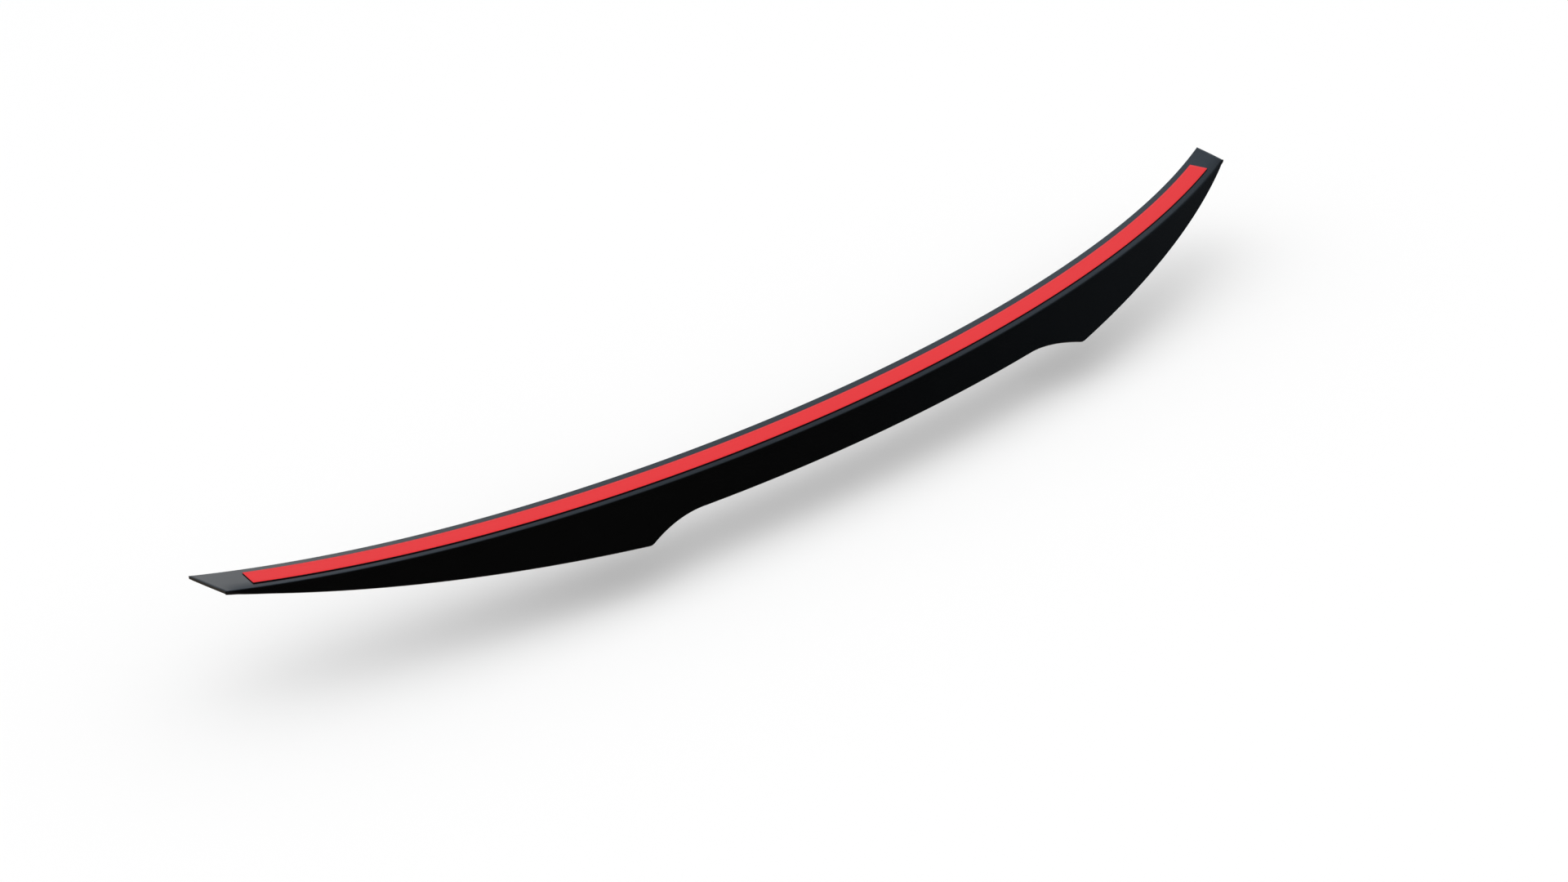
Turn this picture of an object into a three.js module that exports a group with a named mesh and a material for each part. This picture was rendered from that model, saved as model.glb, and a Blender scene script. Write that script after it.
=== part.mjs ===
// Stick-on boot lid lip: one thermoformed sheet, bent along its length into a
// flange and a kicked-up blade, with a strip of foam tape along the flange and
// a release liner on the tape. It lies with its bonding side up.
//
// Frame: origin at the middle of the bonding face, +X along the length, -Y
// toward the blade, +Z out of the bonding side. Millimetres and degrees.
import * as THREE from 'three';

// The bend line, measured on the glossy face where flange and blade would meet.
const SPAN = 1256; // end to end along X
const BOW = 100; // how far both ends lie ahead of the middle, along Y
const BOW_HOOK = 0.11; // share of the bow that is kept for the last stretch
const CROWN = 33; // how far both ends rise above the middle, along Z
const CROWN_HOOK = 0.28; // share of the crown that is kept for the ends

// The sheet and its bend.
const SHEET = 3;
const BEND_RADIUS = 3; // inside the bend, on the glossy face
const BEND_STEPS = 3; // two facets around the bend for each

// The flange, which the tape bonds to the lid.
const FLANGE_WIDTH = 43.5; // at the middle
const FLANGE_TAPER = 2.6; // how much narrower it is at the ends
const FLANGE_TILT = 5.5; // how far it leans forward at the ends
const END_FLARE = 27.6; // how much further along the curve the front edge runs

// The blade, measured from the bend line along its own slope.
const BLADE_ANGLE = 37.6; // below the level plane as the part lies here
const PEAK_AT = 270; // distance of each peak from the middle, along X
const PEAK_WIDTH = 51.6;
const BLADE_END = 1.5; // the least that is left of it at the ends
const BLADE_BELLY = 0.19; // how far the outer edge bulges between peak and end
const NOTCH_AT = 207; // where each shoulder runs out into the middle stretch
const NOTCH_WIDTH = 32.1; // blade width along the middle stretch
const NOTCH_POWER = 1.9; // how sharply the shoulder sweeps up to the peak

// The tape and its liner.
const TAPE_WIDTH = 24;
const TAPE_OFFSET = -1.6; // from the flange's middle line, forward
const TAPE_END_MARGIN = 23; // from the end of the bend line
const TAPE_END_SKEW = 7; // how much further the front edge of the tape runs
const FOAM = 0.6;
const LINER = 0.2;
const CONTACT_GAP = 0.1; // left between faces that lie on each other

// Stations along the half length.
const STEPS_MIDDLE = 14;
const STEPS_SHOULDER = 10;
const STEPS_OUTER = 24;

const HALF = SPAN / 2;
const BLADE_SLOPE = THREE.MathUtils.degToRad(BLADE_ANGLE);
const TAPE_MIDDLE = FLANGE_WIDTH / 2 + TAPE_OFFSET;

/** A share of the half length, raised in a mild curve plus a hook at the end. */
function sweep(along, hook, power) {
  return (1 - hook) * along ** 2 + hook * along ** power;
}

/** Slope of sweep() against its first argument. */
function sweepSlope(along, hook, power) {
  return 2 * (1 - hook) * along + hook * power * along ** (power - 1);
}

/** The bend line, as a curve whose parameter is x itself. */
class BendLine extends THREE.Curve {
  getPoint(x, target = new THREE.Vector3()) {
    const along = Math.abs(x) / HALF;
    return target.set(x, BOW * sweep(along, BOW_HOOK, 6), CROWN * sweep(along, CROWN_HOOK, 4));
  }

  /** Level direction square to the line, pointing to the blade side. */
  outward(x) {
    const slope = BOW * sweepSlope(Math.abs(x) / HALF, BOW_HOOK, 6) / HALF * Math.sign(x);
    return new THREE.Vector3(slope, -1, 0).normalize();
  }
}

const bendLine = new BendLine();

/** Lean of the flange at one station. */
function flangeLean(x) {
  return THREE.MathUtils.degToRad(FLANGE_TILT) * (x / HALF) ** 2;
}

/**
 * A point of the section at one station: `out` is level and toward the blade,
 * `drop` is straight down, both from the bend line.
 */
function sectionPoint(x, out, drop) {
  return bendLine.getPoint(x).addScaledVector(bendLine.outward(x), out).setZ(
    bendLine.getPoint(x).z - drop,
  );
}

/** A point on the flange: `width` forward of the bend, `lift` off its glossy face. */
function flangePoint(x, width, lift) {
  const lean = flangeLean(x);
  const out = -width * Math.cos(lean) - lift * Math.sin(lean);
  const drop = width * Math.sin(lean) - lift * Math.cos(lean);
  return sectionPoint(x, out, drop);
}

/** A point on the blade: `width` down from the bend, `lift` off its glossy face. */
function bladePoint(x, width, lift) {
  const out = width * Math.cos(BLADE_SLOPE) + lift * Math.sin(BLADE_SLOPE);
  const drop = width * Math.sin(BLADE_SLOPE) - lift * Math.cos(BLADE_SLOPE);
  return sectionPoint(x, out, drop);
}

/** Width of the flange at one station. */
function flangeWidth(x) {
  return FLANGE_WIDTH - FLANGE_TAPER * (x / HALF) ** 2;
}

/** Width of the blade at one station: level middle, shoulder, peak, long taper. */
function bladeWidth(x) {
  const along = Math.abs(x);
  if (along <= NOTCH_AT) {
    return NOTCH_WIDTH;
  }
  if (along <= PEAK_AT) {
    const rise = (along - NOTCH_AT) / (PEAK_AT - NOTCH_AT);
    return NOTCH_WIDTH + (PEAK_WIDTH - NOTCH_WIDTH) * rise ** NOTCH_POWER;
  }
  const left = (HALF - along) / (HALF - PEAK_AT);
  return Math.max(BLADE_END, PEAK_WIDTH * left * (1 + BLADE_BELLY * (1 - left)));
}

/**
 * Stations from one end to the other, closer together over the shoulders. None
 * is at the very middle, where one level facet lies across it instead.
 */
function stations() {
  const half = [];
  for (let i = 1; i <= STEPS_MIDDLE; i += 1) {
    half.push(NOTCH_AT * (2 * i - 1) / (2 * STEPS_MIDDLE - 1));
  }
  for (let i = 1; i <= STEPS_SHOULDER; i += 1) {
    half.push(NOTCH_AT + (PEAK_AT - NOTCH_AT) * i / STEPS_SHOULDER);
  }
  for (let i = 1; i <= STEPS_OUTER; i += 1) {
    half.push(PEAK_AT + (HALF - PEAK_AT) * i / STEPS_OUTER);
  }
  return [...half.map((x) => -x).reverse(), ...half];
}

/** Points of the bend's arc at one radius, from flange side to blade side. */
function bendArc(x, radius) {
  const lean = flangeLean(x);
  const turn = lean + BLADE_SLOPE;
  const reach = BEND_RADIUS * Math.tan(turn / 2);
  const centre = [
    -reach * Math.cos(lean) + BEND_RADIUS * Math.sin(lean),
    reach * Math.sin(lean) + BEND_RADIUS * Math.cos(lean),
  ];
  const arc = new THREE.Path();
  arc.absarc(centre[0], centre[1], radius, -Math.PI / 2 - lean, -Math.PI / 2 + BLADE_SLOPE, false);
  return arc.getPoints(BEND_STEPS).map((p) => sectionPoint(x, p.x, p.y));
}

/** Outline of the sheet at one station: the bonding side, then the glossy side. */
function sheetRing(x) {
  const front = x * (1 + END_FLARE / HALF);
  return [
    flangePoint(front, flangeWidth(x), SHEET),
    ...bendArc(x, BEND_RADIUS + SHEET),
    bladePoint(x, bladeWidth(x), SHEET),
    bladePoint(x, bladeWidth(x), 0),
    ...bendArc(x, BEND_RADIUS).reverse(),
    flangePoint(front, flangeWidth(x), 0),
  ];
}

/** Outline of one strip of the tape, which lies between two heights. */
function stripRing(x, low, high) {
  const near = TAPE_MIDDLE - TAPE_WIDTH / 2;
  const far = TAPE_MIDDLE + TAPE_WIDTH / 2;
  const nearX = x * (1 - TAPE_END_MARGIN / HALF);
  const farX = x * (1 - (TAPE_END_MARGIN - TAPE_END_SKEW) / HALF);
  return [
    flangePoint(farX, far, high),
    flangePoint(nearX, near, high),
    flangePoint(nearX, near, low),
    flangePoint(farX, far, low),
  ];
}

/**
 * A closed skin over a row of rings with one outline each, capped at both ends.
 * The rings run toward +X, each counter-clockwise as seen from its +X side.
 */
function loft(rings) {
  const count = rings[0].length;
  const positions = rings.flat().flatMap((p) => p.toArray());
  const index = [];
  for (let ring = 0; ring < rings.length - 1; ring += 1) {
    for (let i = 0; i < count; i += 1) {
      const a = ring * count + i;
      const b = ring * count + (i + 1) % count;
      index.push(a, b, b + count, a, b + count, a + count);
    }
  }
  const outline = rings[0].map((p) => new THREE.Vector2(p.y, p.z));
  const last = (rings.length - 1) * count;
  for (const [a, b, c] of THREE.ShapeUtils.triangulateShape(outline, [])) {
    index.push(a, c, b);
    index.push(last + a, last + b, last + c);
  }
  const geometry = new THREE.BufferGeometry();
  geometry.setAttribute('position', new THREE.Float32BufferAttribute(positions, 3));
  geometry.setIndex(index);
  geometry.computeVertexNormals();
  return geometry;
}

/** One named mesh with its own material. */
function piece(name, rings, color, roughness, metalness) {
  const material = new THREE.MeshStandardMaterial({ color, roughness, metalness });
  const mesh = new THREE.Mesh(loft(rings), material);
  mesh.name = name;
  return mesh;
}

const foamLow = SHEET + CONTACT_GAP;
const linerLow = foamLow + FOAM + CONTACT_GAP;
const rows = stations();

const lip = new THREE.Group();
lip.name = 'boot_lid_lip';
lip.add(piece('abs_shell', rows.map(sheetRing), 0x101216, 0.15, 0));
lip.add(piece('foam_tape', rows.map((x) => stripRing(x, foamLow, foamLow + FOAM)), 0x1b1c1f, 0.9, 0));
lip.add(piece('release_liner', rows.map((x) => stripRing(x, linerLow, linerLow + LINER)), 0xe8383d, 0.45, 0));

// The origin is at the middle of the liner's outer face, on its level facet.
const besideMiddle = rows.find((x) => x > 0);
const [frontEdge, rearEdge] = stripRing(besideMiddle, linerLow, linerLow + LINER);
const bondPoint = frontEdge.lerp(rearEdge, 0.5).setX(0);
lip.position.copy(bondPoint).negate();

export default lip;
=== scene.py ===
"""Looks of a stick-on boot lid lip: a bent glossy sheet, its foam tape and the tape's release liner.

The lip lies with its bonding side up. The frame is the CAD row's: +X along the length, -Y toward the
blade, +Z out of the bonding face, and the origin in the middle of that face. Section sizes are kept in
millimetres, as the part is drawn, and every mesh is made in metres.
"""

from __future__ import annotations

import logging
import math
from collections.abc import Callable, Iterable, Sequence
from dataclasses import dataclass
from enum import Enum

import bpy
from mathutils import Matrix, Vector


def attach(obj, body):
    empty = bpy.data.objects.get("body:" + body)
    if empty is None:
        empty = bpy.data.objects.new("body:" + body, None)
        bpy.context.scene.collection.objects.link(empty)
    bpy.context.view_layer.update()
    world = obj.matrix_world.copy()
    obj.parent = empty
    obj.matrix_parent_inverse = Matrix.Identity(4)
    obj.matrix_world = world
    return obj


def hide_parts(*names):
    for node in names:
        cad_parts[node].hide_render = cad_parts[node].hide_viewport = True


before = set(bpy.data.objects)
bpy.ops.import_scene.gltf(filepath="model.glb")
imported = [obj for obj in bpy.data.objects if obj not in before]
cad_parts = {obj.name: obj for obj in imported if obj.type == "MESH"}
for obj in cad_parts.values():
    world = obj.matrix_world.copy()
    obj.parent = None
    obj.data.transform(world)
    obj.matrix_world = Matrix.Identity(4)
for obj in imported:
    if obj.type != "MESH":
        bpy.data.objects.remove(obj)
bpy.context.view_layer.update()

LOG = logging.getLogger("lip")
MM = 0.001
CHART = "surface"


class Side(Enum):
    """Which surface of the sheet a face belongs to, by its place in the mesh's material slots."""

    GLOSSY = 0
    BONDING = 1
    TRIMMED = 2


def srgb(code: str) -> tuple[float, float, float, float]:
    """Turns an sRGB hex colour into linear RGBA.

    Args:
        code: Six hex digits, with or without a leading hash.

    Returns:
        Linear red, green, blue and an alpha of one.
    """
    digits = code.lstrip("#")
    values = [int(digits[i : i + 2], 16) / 255 for i in (0, 2, 4)]
    red, green, blue = (v / 12.92 if v <= 0.04045 else ((v + 0.055) / 1.055) ** 2.4 for v in values)
    return red, green, blue, 1.0


def node(tree: bpy.types.NodeTree, kind: str, links: dict | None = None, **settings) -> bpy.types.Node:
    """Adds one node, sets it up and links its inputs.

    Args:
        tree: The node tree to add to.
        kind: The node's type name.
        links: Input name or number, to an output socket or a plain value.
        **settings: Properties of the node itself.

    Returns:
        The new node.
    """
    made = tree.nodes.new(kind)
    for name, value in settings.items():
        setattr(made, name, value)
    for name, value in (links or {}).items():
        if isinstance(value, bpy.types.NodeSocket):
            tree.links.new(value, made.inputs[name])
        else:
            made.inputs[name].default_value = value
    return made


def noise(
    tree: bpy.types.NodeTree, place: bpy.types.NodeSocket, size_mm: float, detail: float
) -> bpy.types.NodeSocket:
    """Adds noise of one real size.

    Args:
        tree: The node tree to add to.
        place: Place on the piece, in metres.
        size_mm: Size of the noise's swells.
        detail: How many finer layers ride on them.

    Returns:
        The noise, about zero to one.
    """
    scale = 1 / (size_mm * MM)
    made = node(tree, "ShaderNodeTexNoise", {"Vector": place, "Scale": scale, "Detail": detail})
    return made.outputs["Fac"]


def relief(
    tree: bpy.types.NodeTree,
    height: bpy.types.NodeSocket,
    strength: float,
    depth_mm: float,
    under: bpy.types.NodeSocket | None = None,
) -> bpy.types.NodeSocket:
    """Adds a bump of one real depth.

    Args:
        tree: The node tree to add to.
        height: The pattern that stands up.
        strength: How much of the bump is used.
        depth_mm: Height of the pattern.
        under: A coarser bump that this one rides on.

    Returns:
        The bumped normal.
    """
    links = {"Height": height, "Strength": strength, "Distance": depth_mm * MM}
    if under is not None:
        links["Normal"] = under
    return node(tree, "ShaderNodeBump", links).outputs[0]


def spread(
    tree: bpy.types.NodeTree, value: bpy.types.NodeSocket, low: float, high: float
) -> bpy.types.NodeSocket:
    """Stretches a value from zero to one over another range.

    Args:
        tree: The node tree to add to.
        value: The value.
        low: What zero becomes.
        high: What one becomes.

    Returns:
        The stretched value.
    """
    return node(tree, "ShaderNodeMapRange", {"Value": value, 3: low, 4: high}).outputs[0]


def mixed(
    tree: bpy.types.NodeTree, share: bpy.types.NodeSocket, first: str, second: str
) -> bpy.types.NodeSocket:
    """Mixes two colours.

    Args:
        tree: The node tree to add to.
        share: How much of the second colour.
        first: The first colour, as sRGB hex.
        second: The second colour, as sRGB hex.

    Returns:
        The mixed colour.
    """
    links = {"Factor": share, 6: srgb(first), 7: srgb(second)}
    return node(tree, "ShaderNodeMix", links, data_type="RGBA").outputs[2]


# ---------------------------------------------------------------- finishes


@dataclass(frozen=True)
class Finish:
    """What every finish has: a name and a way to become a material."""

    name: str

    def blank(self) -> tuple[bpy.types.Material, bpy.types.NodeTree, bpy.types.Node]:
        """Makes an empty material with one Principled shader.

        Returns:
            The material, its node tree and the shader node.
        """
        material = bpy.data.materials.new(self.name)
        material.use_nodes = True
        tree = material.node_tree
        tree.nodes.clear()
        shader = node(tree, "ShaderNodeBsdfPrincipled")
        node(tree, "ShaderNodeOutputMaterial", {"Surface": shader.outputs[0]})
        return material, tree, shader


@dataclass(frozen=True)
class PolishedAbs(Finish):
    """Thermoformed ABS, glossy face: a deep black mirror with the faint waviness of drawn sheet."""

    colour: str = "#020203"
    roughness: float = 0.06
    haze_low: float = 0.8
    haze_high: float = 1.3
    index: float = 1.53
    wave_mm: float = 38.0
    wave_strength: float = 0.12
    wave_depth_mm: float = 0.4
    peel_mm: float = 1.6
    peel_strength: float = 0.05
    peel_depth_mm: float = 0.02

    def build(self) -> bpy.types.Material:
        """Makes the material, with long waves and fine orange peel in its bump.

        Returns:
            The material.
        """
        material, tree, shader = self.blank()
        place = node(tree, "ShaderNodeTexCoord").outputs["Object"]
        wave = noise(tree, place, self.wave_mm, 1.0)
        peel = noise(tree, place, self.peel_mm, 2.0)
        waves = relief(tree, wave, self.wave_strength, self.wave_depth_mm)
        bump = relief(tree, peel, self.peel_strength, self.peel_depth_mm, waves)
        haze = spread(tree, wave, self.roughness * self.haze_low, self.roughness * self.haze_high)
        shader.inputs["Base Color"].default_value = srgb(self.colour)
        shader.inputs["IOR"].default_value = self.index
        tree.links.new(haze, shader.inputs["Roughness"])
        tree.links.new(bump, shader.inputs["Normal"])
        return material


@dataclass(frozen=True)
class SatinAbs(Finish):
    """Thermoformed ABS, mould face: the fine even grain that the forming tool leaves."""

    colour: str = "#020202"
    roughness: float = 0.2
    sheen_low: float = 0.9
    sheen_high: float = 1.15
    index: float = 1.53
    grain_mm: float = 0.35
    grain_strength: float = 0.10
    grain_depth_mm: float = 0.02
    cloud_mm: float = 22.0

    def build(self) -> bpy.types.Material:
        """Makes the material, with a fine grain and slow changes of sheen.

        Returns:
            The material.
        """
        material, tree, shader = self.blank()
        place = node(tree, "ShaderNodeTexCoord").outputs["Object"]
        grain = noise(tree, place, self.grain_mm, 3.0)
        cloud = noise(tree, place, self.cloud_mm, 2.0)
        bump = relief(tree, grain, self.grain_strength, self.grain_depth_mm)
        sheen = spread(tree, cloud, self.roughness * self.sheen_low, self.roughness * self.sheen_high)
        shader.inputs["Base Color"].default_value = srgb(self.colour)
        shader.inputs["IOR"].default_value = self.index
        tree.links.new(sheen, shader.inputs["Roughness"])
        tree.links.new(bump, shader.inputs["Normal"])
        return material


@dataclass(frozen=True)
class TrimmedAbs(Finish):
    """Routed ABS edge: duller than the faces, with the cutter's fine marks across the sheet."""

    colour: str = "#0F0D0B"
    roughness: float = 0.35
    mark_mm: float = 0.6
    mark_strength: float = 0.25
    mark_depth_mm: float = 0.03

    def build(self) -> bpy.types.Material:
        """Makes the material, with cutter marks that cross the edge.

        Returns:
            The material.
        """
        material, tree, shader = self.blank()
        along = node(tree, "ShaderNodeUVMap", uv_map=CHART).outputs[0]
        split = node(tree, "ShaderNodeSeparateXYZ", {"Vector": along})
        marks = node(
            tree,
            "ShaderNodeTexNoise",
            {"W": split.outputs["X"], "Scale": 1 / (self.mark_mm * MM), "Detail": 2.0},
            noise_dimensions="1D",
        )
        bump = relief(tree, marks.outputs["Fac"], self.mark_strength, self.mark_depth_mm)
        shader.inputs["Base Color"].default_value = srgb(self.colour)
        shader.inputs["Roughness"].default_value = self.roughness
        tree.links.new(bump, shader.inputs["Normal"])
        return material


@dataclass(frozen=True)
class AcrylicFoam(Finish):
    """Closed-cell acrylic foam of the tape: matt charcoal with the pores of its slit edge."""

    colour: str = "#08080A"
    lighter: str = "#111214"
    roughness: float = 0.9
    cell_mm: float = 0.22
    cell_strength: float = 0.6
    cell_depth_mm: float = 0.08

    def build(self) -> bpy.types.Material:
        """Makes the material, with small round cells in colour and bump.

        Returns:
            The material.
        """
        material, tree, shader = self.blank()
        place = node(tree, "ShaderNodeTexCoord").outputs["Object"]
        cells = node(tree, "ShaderNodeTexVoronoi", {"Vector": place, "Scale": 1 / (self.cell_mm * MM)})
        colour = mixed(tree, cells.outputs["Distance"], self.colour, self.lighter)
        bump = relief(tree, cells.outputs["Distance"], self.cell_strength, self.cell_depth_mm)
        tree.links.new(colour, shader.inputs["Base Color"])
        shader.inputs["Roughness"].default_value = self.roughness
        tree.links.new(bump, shader.inputs["Normal"])
        return material


@dataclass(frozen=True)
class LinerFilm(Finish):
    """Blown polyethylene film, siliconed: bright red, half matt, faintly streaked along the roll."""

    colour: str = "#E32F34"
    deeper: str = "#DE2D32"
    roughness: float = 0.5
    specular: float = 0.1
    streak_mm: float = 1.4
    streak_length_m: float = 0.12
    cockle_mm: float = 16.0
    cockle_strength: float = 0.15
    cockle_depth_mm: float = 0.15

    def build(self) -> bpy.types.Material:
        """Makes the material, with streaks along the roll and soft cockles.

        Returns:
            The material.
        """
        material, tree, shader = self.blank()
        along = node(tree, "ShaderNodeUVMap", uv_map=CHART).outputs[0]
        scale = (1 / self.streak_length_m, 1 / (self.streak_mm * MM), 1.0)
        stretch = node(tree, "ShaderNodeMapping", {"Vector": along, "Scale": scale}).outputs[0]
        streaks = node(tree, "ShaderNodeTexNoise", {"Vector": stretch, "Scale": 1.0, "Detail": 2.0})
        cockles = noise(tree, along, self.cockle_mm, 1.0)
        colour = mixed(tree, streaks.outputs["Fac"], self.colour, self.deeper)
        bump = relief(tree, cockles, self.cockle_strength, self.cockle_depth_mm)
        tree.links.new(colour, shader.inputs["Base Color"])
        shader.inputs["Roughness"].default_value = self.roughness
        shader.inputs["Specular IOR Level"].default_value = self.specular
        tree.links.new(bump, shader.inputs["Normal"])
        return material


@dataclass(frozen=True)
class StudioFloor(Finish):
    """Matt white paper sweep: an even ground that takes the soft shadow."""

    colour: str = "#F4F4F4"
    tooth_per_m: float = 900.0
    tooth_strength: float = 0.02

    def build(self) -> bpy.types.Material:
        """Makes the material, a plain matt white with a trace of paper tooth.

        Returns:
            The material.
        """
        material, tree, shader = self.blank()
        place = node(tree, "ShaderNodeTexCoord").outputs["Object"]
        tooth = node(tree, "ShaderNodeTexNoise", {"Vector": place, "Scale": self.tooth_per_m})
        links = {"Height": tooth.outputs["Fac"], "Strength": self.tooth_strength}
        bump = node(tree, "ShaderNodeBump", links).outputs[0]
        shader.inputs["Base Color"].default_value = srgb(self.colour)
        shader.inputs["Roughness"].default_value = 1.0
        shader.inputs["Specular IOR Level"].default_value = 0.0
        tree.links.new(bump, shader.inputs["Normal"])
        return material


# ---------------------------------------------------------------- shape


@dataclass(frozen=True)
class LipShape:
    """Sizes of the lip in millimetres and degrees, and the surface that they give."""

    span: float = 1256.0
    bow: float = 100.0
    bow_hook: float = 0.11
    crown: float = 33.0
    crown_hook: float = 0.28
    sheet: float = 3.0
    bend_radius: float = 3.0
    run_in: float = 11.0
    run_in_tilt: float = 5.0
    flange_width: float = 43.5
    flange_taper: float = 2.6
    flange_tilt: float = 5.5
    end_flare: float = 27.6
    blade_angle: float = 37.6
    run_out: float = 16.0
    end_share: float = 0.15
    peak_at: float = 270.0
    peak_width: float = 51.6
    peak_round: float = 1.6
    blade_end: float = 1.5
    blade_belly: float = 0.19
    notch_at: float = 207.0
    notch_width: float = 32.1
    notch_power: float = 1.9
    tape_width: float = 24.0
    tape_offset: float = -1.6
    tape_end_margin: float = 23.0
    tape_end_skew: float = 7.0
    foam: float = 0.6
    liner: float = 0.2
    contact_gap: float = 0.1
    drawn_gap_share: float = 0.2

    @property
    def half(self) -> float:
        """Half the bend line's length."""
        return self.span / 2

    @property
    def tape_middle(self) -> float:
        """Distance of the tape's centre line from the bend."""
        return self.flange_width / 2 + self.tape_offset

    @property
    def bond_height(self) -> float:
        """Height of the liner's outer face over the flange's glossy face."""
        return self.sheet + self.foam + self.liner + 2 * self.contact_gap

    @property
    def drawn_gap(self) -> float:
        """What is left, as drawn, of the gap over and under the foam."""
        return self.contact_gap * self.drawn_gap_share

    def bend_point(self, x: float) -> Vector:
        """A point of the bend line.

        Args:
            x: Distance from the middle.

        Returns:
            The point, before the origin is moved to the bonding face.
        """
        along = abs(x) / self.half
        bow = (1 - self.bow_hook) * along**2 + self.bow_hook * along**6
        crown = (1 - self.crown_hook) * along**2 + self.crown_hook * along**4
        return Vector((x, self.bow * bow, self.crown * crown))

    def outward(self, x: float) -> Vector:
        """Level unit vector square to the bend line, toward the blade.

        Args:
            x: Distance from the middle.

        Returns:
            The direction.
        """
        along = abs(x) / self.half
        rise = 2 * (1 - self.bow_hook) * along + 6 * self.bow_hook * along**5
        slope = math.copysign(self.bow * rise / self.half, x)
        return Vector((slope, -1, 0)).normalized()

    def fold(self, x: float) -> float:
        """How much of the full bend there is at one station: all of it, but it runs out at the ends."""
        left = min(1.0, max(0.0, self.half - abs(x)) / self.run_out)
        return self.end_share + (1 - self.end_share) * (1 - (1 - left) ** 2)

    def slope(self, x: float) -> float:
        """The blade's angle below level at one station, in radians."""
        return math.radians(self.blade_angle) * self.fold(x)

    def run_in_angle(self, x: float) -> float:
        """How far the flange has turned down where the bend starts, in radians."""
        return math.radians(self.run_in_tilt) * self.fold(x)

    def lean(self, x: float) -> float:
        """How far the flange leans forward at x, in radians."""
        return math.radians(self.flange_tilt) * (x / self.half) ** 2

    def section_point(self, x: float, out: float, drop: float) -> Vector:
        """A point of the section at one station.

        Args:
            x: Station.
            out: Level distance toward the blade.
            drop: Distance straight down.

        Returns:
            The point.
        """
        point = self.bend_point(x) + self.outward(x) * out
        point.z -= drop
        return point

    def flange_point(self, x: float, width: float, lift: float) -> Vector:
        """A point on the flange.

        Args:
            x: Station.
            width: Distance forward of the bend.
            lift: Height over the glossy face.

        Returns:
            The point.
        """
        return self.section_point(x, *self.flange_place(x, width, lift))

    def flange_place(self, x: float, width: float, lift: float) -> tuple[float, float]:
        """Where a point of the flange lies in its own section.

        Args:
            x: Station.
            width: Distance forward of the bend.
            lift: Height over the glossy face.

        Returns:
            Distance toward the blade, and drop.
        """
        lean = self.lean(x)
        left = max(0.0, self.run_in - width)
        lift -= self.run_in_angle(x) * left**2 / (2 * self.run_in)
        out = -width * math.cos(lean) - lift * math.sin(lean)
        drop = width * math.sin(lean) - lift * math.cos(lean)
        return out, drop

    def blade_point(self, x: float, width: float, lift: float) -> Vector:
        """A point on the blade.

        Args:
            x: Station.
            width: Distance down from the bend.
            lift: Height over the glossy face.

        Returns:
            The point.
        """
        middle_out, middle_drop = self.bend_middle(x)
        beyond = width - self.bend_reach(x)
        radius = self.bend_radius + lift
        slope = self.slope(x)
        out = middle_out + radius * math.sin(slope) + beyond * math.cos(slope)
        drop = middle_drop - radius * math.cos(slope) + beyond * math.sin(slope)
        return self.section_point(x, out, drop)

    def entry(self, x: float) -> float:
        """Angle at which the flange enters the bend, in radians."""
        near = self.bend_reach(x)
        return self.lean(x) - self.run_in_angle(x) * (1 - near / self.run_in)

    def bend_middle(self, x: float) -> tuple[float, float]:
        """Middle of the bend's arc.

        Args:
            x: Station.

        Returns:
            Distance toward the blade, and drop.
        """
        out, drop = self.flange_place(x, self.bend_reach(x), 0.0)
        entry = self.entry(x)
        return out + self.bend_radius * math.sin(entry), drop + self.bend_radius * math.cos(entry)

    def bend_arc(self, x: float, radius: float, steps: int) -> list[Vector]:
        """Points around the bend.

        Args:
            x: Station.
            radius: Radius from the bend's own centre.
            steps: Number of spans.

        Returns:
            Points from the flange side to the blade side.
        """
        out, drop = self.bend_middle(x)
        start, end = -math.pi / 2 - self.entry(x), -math.pi / 2 + self.slope(x)
        angles = [start + (end - start) * i / steps for i in range(steps + 1)]
        return [
            self.section_point(x, out + radius * math.cos(a), drop + radius * math.sin(a)) for a in angles
        ]

    def bend_reach(self, x: float) -> float:
        """Distance from the bend line at which flange and blade turn flat."""
        return self.bend_radius * math.tan((self.lean(x) + self.slope(x)) / 2)

    def flange_reach(self, x: float) -> float:
        """Width of the flange at one station."""
        return self.flange_width - self.flange_taper * (x / self.half) ** 2

    def blade_reach(self, x: float) -> float:
        """Width of the blade at one station.

        Args:
            x: Station.

        Returns:
            The width: level middle, shoulder, softened peak, long taper.
        """
        along = abs(x)
        rise = max(0.0, along - self.notch_at) / (self.peak_at - self.notch_at)
        shoulder = self.notch_width + (self.peak_width - self.notch_width) * rise**self.notch_power
        left = (self.half - along) / (self.half - self.peak_at)
        taper = self.peak_width * left * (1 + self.blade_belly * (1 - left))
        gap = abs(shoulder - taper)
        soft = max(0.0, self.peak_round - gap) ** 2 / (4 * self.peak_round)
        return max(self.blade_end, min(shoulder, taper) - soft)


SHAPE = LipShape()


def origin_shift(shape: LipShape) -> Vector:
    """Where the frame's origin lies before it is moved to the bonding face."""
    return shape.flange_point(0.0, shape.tape_middle, shape.bond_height)


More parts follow.
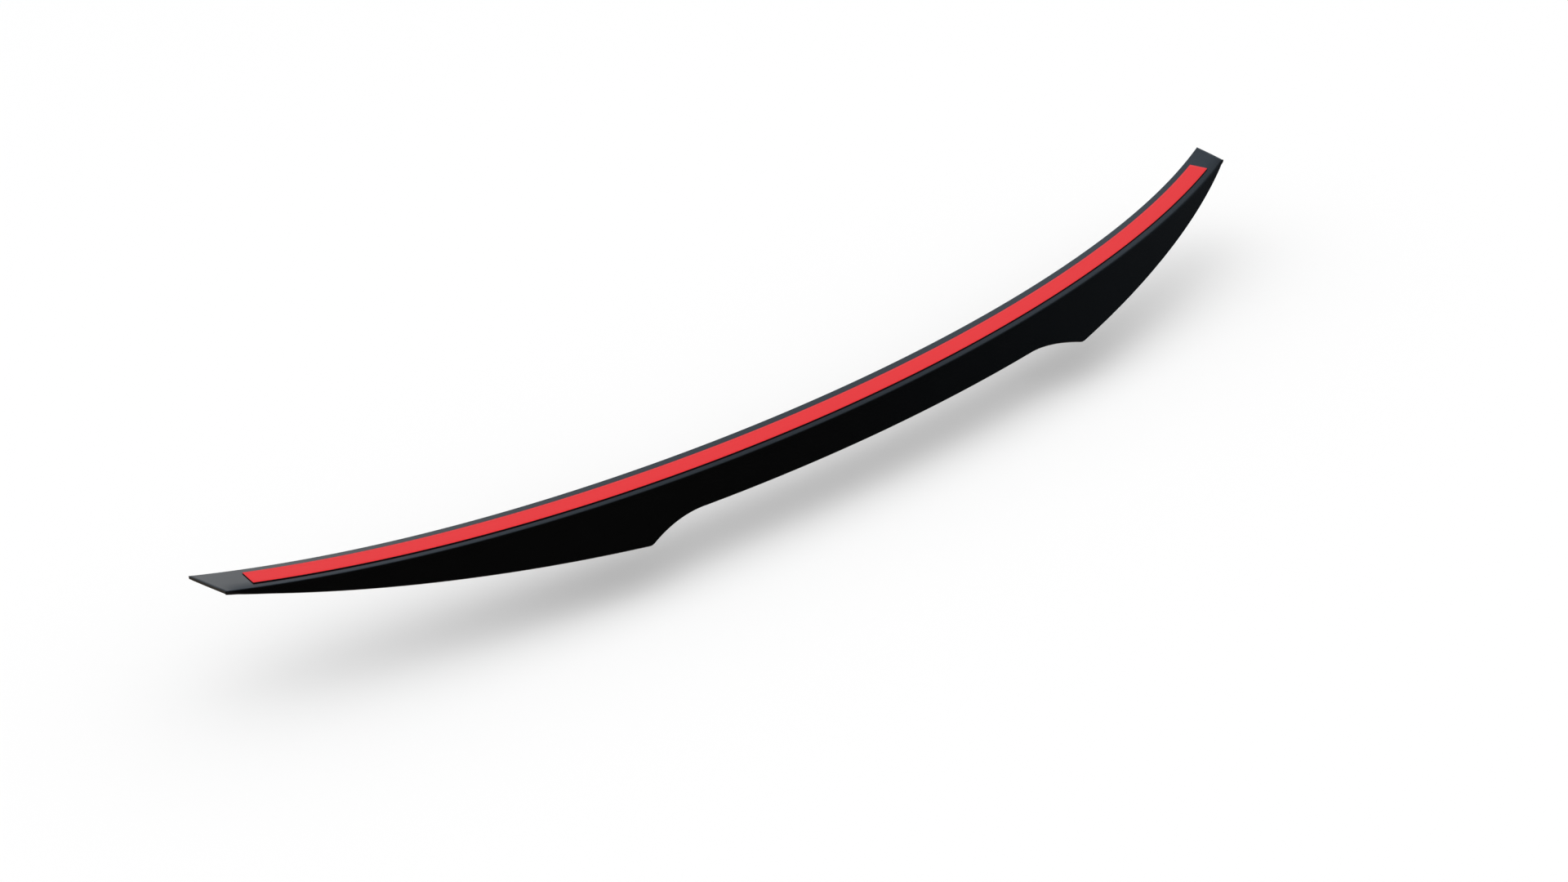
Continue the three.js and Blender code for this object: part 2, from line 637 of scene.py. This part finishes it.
def mesh_object(
    name: str,
    points: Sequence[Vector],
    faces: Iterable[Sequence[int]],
    sides: Sequence[int],
    chart: Callable[[int], tuple[float, float]],
    materials: Sequence[bpy.types.Material],
) -> bpy.types.Object:
    """Makes one smooth mesh object from points in millimetres.

    Args:
        name: The object's name.
        points: Corners, in millimetres before the origin is moved.
        faces: Corner numbers of each face.
        sides: Material slot of each face.
        chart: Gives a corner's place on the unrolled surface, in metres.
        materials: The material slots.

    Returns:
        The object, linked into the scene.
    """
    shift = origin_shift(SHAPE)
    mesh = bpy.data.meshes.new(name)
    mesh.from_pydata([(p - shift) * MM for p in points], [], list(faces))
    layer = mesh.uv_layers.new(name=CHART)
    for loop in mesh.loops:
        layer.data[loop.index].uv = chart(loop.vertex_index)
    for material in materials:
        mesh.materials.append(material)
    for face, side in zip(mesh.polygons, sides):
        face.material_index = side
        face.use_smooth = True
    mesh.validate()
    made = bpy.data.objects.new(name, mesh)
    bpy.context.scene.collection.objects.link(made)
    return made


@dataclass
class Shell:
    """The bent sheet, with rounded trim edges and a true bend."""

    shape: LipShape
    edge_round: float = 0.25
    blade_ease: float = 2.2
    blade_trim: float = 0.6
    ease_steps: int = 8
    station_mm: float = 2.5
    bend_steps: int = 12
    round_steps: int = 3
    flat_steps: int = 6
    first_span: float = 0.4
    least_round: float = 0.02
    glossy: PolishedAbs = PolishedAbs("Thermoformed ABS, polished face")
    bonding: SatinAbs = SatinAbs("Thermoformed ABS, mould face")
    trimmed: TrimmedAbs = TrimmedAbs("Routed ABS edge")

    def ring(self, x: float, inset: float) -> tuple[list[Vector], list[Side]]:
        """The sheet's outline at one station.

        Args:
            x: Station.
            inset: How far the outline is drawn in, for the rounding of the end.

        Returns:
            Points in order, and for each the side that its next span lies on.
        """
        shape = self.shape
        radius = max(self.edge_round - inset, self.least_round)
        flare = shape.end_flare / shape.half
        wide = shape.flange_reach(x) - inset
        trim = self.blade_trim * min(1.0, shape.blade_reach(x) / shape.notch_width)
        deep = shape.blade_reach(x) - trim - inset
        top, low = shape.sheet - inset, inset
        near = shape.bend_reach(x)
        points: list[Vector] = []
        sides: list[Side] = []

        def add(new: Iterable[Vector], side: Side) -> None:
            """Takes in the next points, all of one side."""
            for point in new:
                points.append(point)
                sides.append(side)

        def flange(width: float, lift: float) -> Vector:
            """Returns a point on the flange, whose ends flare with its width."""
            return shape.flange_point(x * (1 + flare * width / shape.flange_reach(x)), width, lift)

        def flat(start: float, end: float) -> list[float]:
            """Returns places along a flat, with short first and last spans that hold its shading."""
            lead = min(self.first_span, abs(end - start) / 3) * (1 if end > start else -1)
            rest = end - start - 2 * lead
            return [start, *(start + lead + rest * i / self.flat_steps for i in range(self.flat_steps + 1))]

        eased = max(self.least_round, min(self.blade_ease, (deep - near) / 2) - inset)
        turns = [math.pi / 2 * i / self.round_steps for i in range(self.round_steps + 1)]
        eased_turns = [math.pi / 2 * i / self.ease_steps for i in range(self.ease_steps + 1)]
        add((flange(w, top) for w in flat(wide - radius, near)), Side.BONDING)
        add(shape.bend_arc(x, shape.bend_radius + top, self.bend_steps), Side.BONDING)
        add((shape.blade_point(x, w, top) for w in flat(near, deep - radius)[1:]), Side.BONDING)
        width, lift = deep - radius, top - radius
        corner = [(width + radius * math.sin(t), lift + radius * math.cos(t)) for t in turns]
        add((shape.blade_point(x, *place) for place in corner), Side.TRIMMED)
        width, lift = deep - eased, low + eased
        corner = [(width + eased * math.cos(t), lift - eased * math.sin(t)) for t in eased_turns[:-1]]
        add((shape.blade_point(x, *place) for place in corner), Side.TRIMMED)
        add((shape.blade_point(x, w, low) for w in flat(deep - eased, near)), Side.GLOSSY)
        add(reversed(shape.bend_arc(x, shape.bend_radius + low, self.bend_steps)), Side.GLOSSY)
        add((flange(w, low) for w in flat(near, wide - radius)[1:]), Side.GLOSSY)
        width, lift = wide - radius, low + radius
        corner = [(width + radius * math.sin(t), lift - radius * math.cos(t)) for t in turns]
        add((flange(*place) for place in corner), Side.TRIMMED)
        width, lift = wide - radius, top - radius
        corner = [(width + radius * math.cos(t), lift + radius * math.sin(t)) for t in turns[:-1]]
        add((flange(*place) for place in corner), Side.TRIMMED)
        return points, sides

    def build(self) -> bpy.types.Object:
        """Builds the sheet.

        Returns:
            The object.
        """
        shape = self.shape
        steps = round(2 * shape.half / self.station_mm)
        inner = shape.half - self.edge_round
        stations = [(-inner + 2 * inner * i / steps, 0.0) for i in range(steps + 1)]
        turns = [math.pi / 2 * i / self.round_steps for i in range(1, self.round_steps + 1)]
        ends = [
            (inner + self.edge_round * math.sin(t), self.edge_round * (1 - math.cos(t))) for t in turns
        ]
        stations = [(-x, inset) for x, inset in reversed(ends)] + stations + ends
        rings = [self.ring(x, inset) for x, inset in stations]
        count = len(rings[0][0])
        points = [p for ring, _ in rings for p in ring]
        faces: list[tuple[int, ...]] = []
        sides: list[int] = []
        for r in range(len(rings) - 1):
            trimmed_end = r < self.round_steps or r >= len(rings) - 1 - self.round_steps
            for i in range(count):
                a, b = r * count + i, r * count + (i + 1) % count
                faces.append((a, b, b + count, a + count))
                sides.append(Side.TRIMMED.value if trimmed_end else rings[r][1][i].value)
        faces += [tuple(reversed(range(count))), tuple(range(len(points) - count, len(points)))]
        sides += [Side.TRIMMED.value] * 2

        def chart(corner: int) -> tuple[float, float]:
            """Returns a corner's place on the unrolled surface, in metres."""
            ring, place = divmod(corner, count)
            return stations[ring][0] * MM, place * MM

        slots = [self.glossy.build(), self.bonding.build(), self.trimmed.build()]
        made = mesh_object("lip_shell", points, faces, sides, chart, slots)
        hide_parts("abs_shell")
        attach(made, "lip")
        return made


@dataclass
class TapeStrip:
    """One layer of the tape, which follows the flange between two heights."""

    shape: LipShape
    name: str
    node_name: str
    body: str
    slot: str
    low: float
    high: float
    finish: AcrylicFoam | LinerFilm
    corner: float = 0.08
    cut_share: float = 0.7
    end_share: float = 0.5
    chart_mm: float = 3.0
    station_mm: float = 4.0
    across_steps: int = 8

    def ring(self, x: float, inset: float) -> list[Vector]:
        """The strip's outline at one station.

        Args:
            x: Station, as a distance along the half length.
            inset: How far the outline is drawn in.

        Returns:
            Points in order, from the front edge over the top to the bend side and back below.
        """
        shape = self.shape
        near = shape.tape_middle - shape.tape_width / 2 + inset
        far = shape.tape_middle + shape.tape_width / 2 - inset
        top, low = self.high - inset, self.low + inset
        cut = self.corner * self.cut_share

        def place(width: float, lift: float) -> Vector:
            """Returns a point of the strip, whose ends are cut on the skew."""
            share = (width - shape.tape_middle) / shape.tape_width + 0.5
            margin = shape.tape_end_margin - shape.tape_end_skew * share
            return shape.flange_point(x * (1 - margin / shape.half), width, lift)

        rest = near - far + 2 * cut
        across = [far - cut + rest * i / self.across_steps for i in range(self.across_steps + 1)]
        return [
            place(far, top - cut),
            *(place(w, top) for w in across),
            place(near, top - cut),
            place(near, low + cut),
            *(place(w, low) for w in reversed(across)),
            place(far, low + cut),
        ]

    def build(self) -> bpy.types.Object:
        """Builds the strip.

        Returns:
            The object.
        """
        shape = self.shape
        steps = round(2 * shape.half / self.station_mm)
        inner = shape.half - self.corner
        stations = [(-inner + 2 * inner * i / steps, 0.0) for i in range(steps + 1)]
        inset = self.corner * self.end_share
        stations = [(-shape.half, inset), *stations, (shape.half, inset)]
        rings = [self.ring(x, inset) for x, inset in stations]
        count = len(rings[0])
        points = [p for ring in rings for p in ring]
        faces: list[tuple[int, ...]] = []
        for r in range(len(rings) - 1):
            for i in range(count):
                a, b = r * count + i, r * count + (i + 1) % count
                faces.append((a, b, b + count, a + count))
        faces += [tuple(reversed(range(count))), tuple(range(len(points) - count, len(points)))]

        def chart(corner: int) -> tuple[float, float]:
            """Returns a corner's place on the unrolled surface, in metres."""
            ring, place = divmod(corner, count)
            return stations[ring][0] * MM, place * self.chart_mm * MM

        made = mesh_object(self.name, points, faces, [0] * len(faces), chart, [self.finish.build()])
        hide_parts(self.node_name)
        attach(made, self.body)
        return made


# ---------------------------------------------------------------- studio


@dataclass(frozen=True)
class Softbox:
    """One flat studio light, given by where it hangs, what it faces and how big it is."""

    name: str
    place: tuple[float, float, float]
    aim: tuple[float, float, float]
    size: tuple[float, float]
    power: float
    colour: str = "#FFFFFF"
    mirrored: bool = True

    def build(self) -> bpy.types.Object:
        """Hangs the light.

        Returns:
            The light object.
        """
        lamp = bpy.data.lights.new(self.name, "AREA")
        lamp.shape = "RECTANGLE"
        lamp.size, lamp.size_y = self.size
        lamp.energy = self.power
        lamp.color = srgb(self.colour)[:3]
        made = bpy.data.objects.new(self.name, lamp)
        made.location = self.place
        made.rotation_euler = (Vector(self.aim) - Vector(self.place)).to_track_quat("-Z", "Y").to_euler()
        made.visible_camera = False
        made.visible_glossy = self.mirrored
        bpy.context.scene.collection.objects.link(made)
        return made


@dataclass
class Studio:
    """Floor, lights and camera."""

    floor_z: float = -0.075
    floor_size: float = 60.0
    softboxes: tuple[Softbox, ...] = (
        Softbox("overhead", (0.0, 0.05, 2.2), (0.0, 0.0, 0.0), (1.0, 1.0), 0.5, mirrored=False),
    )
    room_strength: float = 1.10
    mirrored_strength: float = 1.5
    dim_side_share: float = 0.27
    dim_side_from: float = -0.1
    dim_side_to: float = 0.5
    mirrored_room: tuple[tuple[float, str], ...] = (
        (-90.0, "#3A3733"),
        (-30.0, "#857B6E"),
        (-12.0, "#8A867F"),
        (4.0, "#8F9398"),
        (12.0, "#F4F7FA"),
        (18.0, "#F0F2F5"),
        (20.0, "#C4CAD0"),
        (22.5, "#9CA6B0"),
        (28.0, "#8FA3B9"),
        (31.0, "#69747F"),
        (40.0, "#68737E"),
        (44.0, "#4B5C69"),
        (47.0, "#3B4B56"),
        (50.0, "#2F3742"),
        (56.0, "#121214"),
        (62.0, "#060607"),
        (70.0, "#030303"),
    )
    lens_mm: float = 50.0
    sensor_mm: float = 36.0
    clip_m: tuple[float, float] = (0.01, 200.0)
    camera_place: tuple[float, float, float] = (-1.15986, -1.50627, 0.97950)
    camera_right: tuple[float, float, float] = (0.780417, -0.618257, -0.093312)
    camera_up: tuple[float, float, float] = (0.359635, 0.321771, 0.875857)

    def build(self) -> None:
        """Sets up the floor, the lights, the world and the camera."""
        self.build_floor()
        for box in self.softboxes:
            box.build()
        self.build_world()
        self.build_camera()

    def build_floor(self) -> bpy.types.Object:
        """Lays the floor.

        Returns:
            The floor object.
        """
        half = self.floor_size / 2
        corners = [(-half, -half, 0), (half, -half, 0), (half, half, 0), (-half, half, 0)]
        mesh = bpy.data.meshes.new("studio_floor")
        mesh.from_pydata([(x, y, self.floor_z) for x, y, _ in corners], [], [(0, 1, 2, 3)])
        mesh.materials.append(StudioFloor("Matt white paper").build())
        floor = bpy.data.objects.new("studio_floor", mesh)
        floor.visible_glossy = False
        bpy.context.scene.collection.objects.link(floor)
        return floor

    def build_world(self) -> None:
        """Fills the room with even white light; polished faces mirror a room that darkens upward."""
        world = bpy.data.worlds.new("studio")
        world.use_nodes = True
        tree = world.node_tree
        tree.nodes.clear()
        toward = node(
            tree,
            "ShaderNodeSeparateXYZ",
            {"Vector": node(tree, "ShaderNodeTexCoord").outputs["Generated"]},
        )
        angle = node(tree, "ShaderNodeMath", {0: toward.outputs["Z"]}, operation="ARCSINE").outputs[0]
        near_side = node(
            tree,
            "ShaderNodeMapRange",
            {
                "Value": toward.outputs["Y"],
                1: self.dim_side_from,
                2: self.dim_side_to,
                3: self.dim_side_share * self.mirrored_strength,
                4: self.mirrored_strength,
            },
        )
        share = node(tree, "ShaderNodeMapRange", {"Value": angle, 1: -math.pi / 2, 2: math.pi / 2}).outputs[0]
        ramp = node(tree, "ShaderNodeValToRGB", {"Fac": share})
        stops = ramp.color_ramp.elements
        for place, colour in self.mirrored_room:
            spot = place / 180 + 0.5
            stop = stops[0] if place == -90.0 else stops.new(spot)
            stop.position = spot
            stop.color = srgb(colour)
        stops.remove(stops[-1])
        rays = node(tree, "ShaderNodeLightPath")
        colour = node(
            tree,
            "ShaderNodeMix",
            {"Factor": rays.outputs["Is Glossy Ray"], 6: (1.0, 1.0, 1.0, 1.0), 7: ramp.outputs[0]},
            data_type="RGBA",
        )
        power = node(
            tree,
            "ShaderNodeMix",
            {"Factor": rays.outputs["Is Glossy Ray"], 2: self.room_strength, 3: near_side.outputs[0]},
        )
        back = node(tree, "ShaderNodeBackground", {"Color": colour.outputs[2], "Strength": power.outputs[0]})
        node(tree, "ShaderNodeOutputWorld", {"Surface": back.outputs[0]})
        bpy.context.scene.world = world

    def build_camera(self) -> bpy.types.Object:
        """Stands the camera in its place.

        Returns:
            The camera object.
        """
        lens = bpy.data.cameras.new("camera")
        lens.lens = self.lens_mm
        lens.sensor_width = self.sensor_mm
        lens.clip_start, lens.clip_end = self.clip_m
        made = bpy.data.objects.new("camera", lens)
        right, up = Vector(self.camera_right), Vector(self.camera_up)
        back = right.cross(up)
        turn = Matrix((right, up, back)).transposed().to_4x4()
        made.matrix_world = Matrix.Translation(self.camera_place) @ turn
        bpy.context.scene.collection.objects.link(made)
        bpy.context.scene.camera = made
        return made


def main() -> None:
    """Builds the lip's visible pieces and the studio around them."""
    logging.basicConfig(level=logging.INFO, format="%(name)s: %(message)s")
    bpy.context.scene.view_settings.view_transform = "Standard"
    foam_low = SHAPE.sheet + SHAPE.drawn_gap
    foam_high = SHAPE.bond_height - SHAPE.liner - SHAPE.drawn_gap
    builders = [
        Shell(SHAPE),
        TapeStrip(
            SHAPE,
            "tape_foam",
            "foam_tape",
            "lip",
            "acrylic_foam",
            foam_low,
            foam_high,
            AcrylicFoam("Closed-cell acrylic foam"),
        ),
        TapeStrip(
            SHAPE,
            "tape_liner",
            "release_liner",
            "liner",
            "red_liner",
            SHAPE.bond_height - SHAPE.liner,
            SHAPE.bond_height,
            LinerFilm("Siliconed polyethylene film"),
        ),
    ]
    for builder in builders:
        made = builder.build()
        LOG.info("%s: %d faces", made.name, len(made.data.polygons))
    Studio().build()


if __name__ == "__main__":
    main()
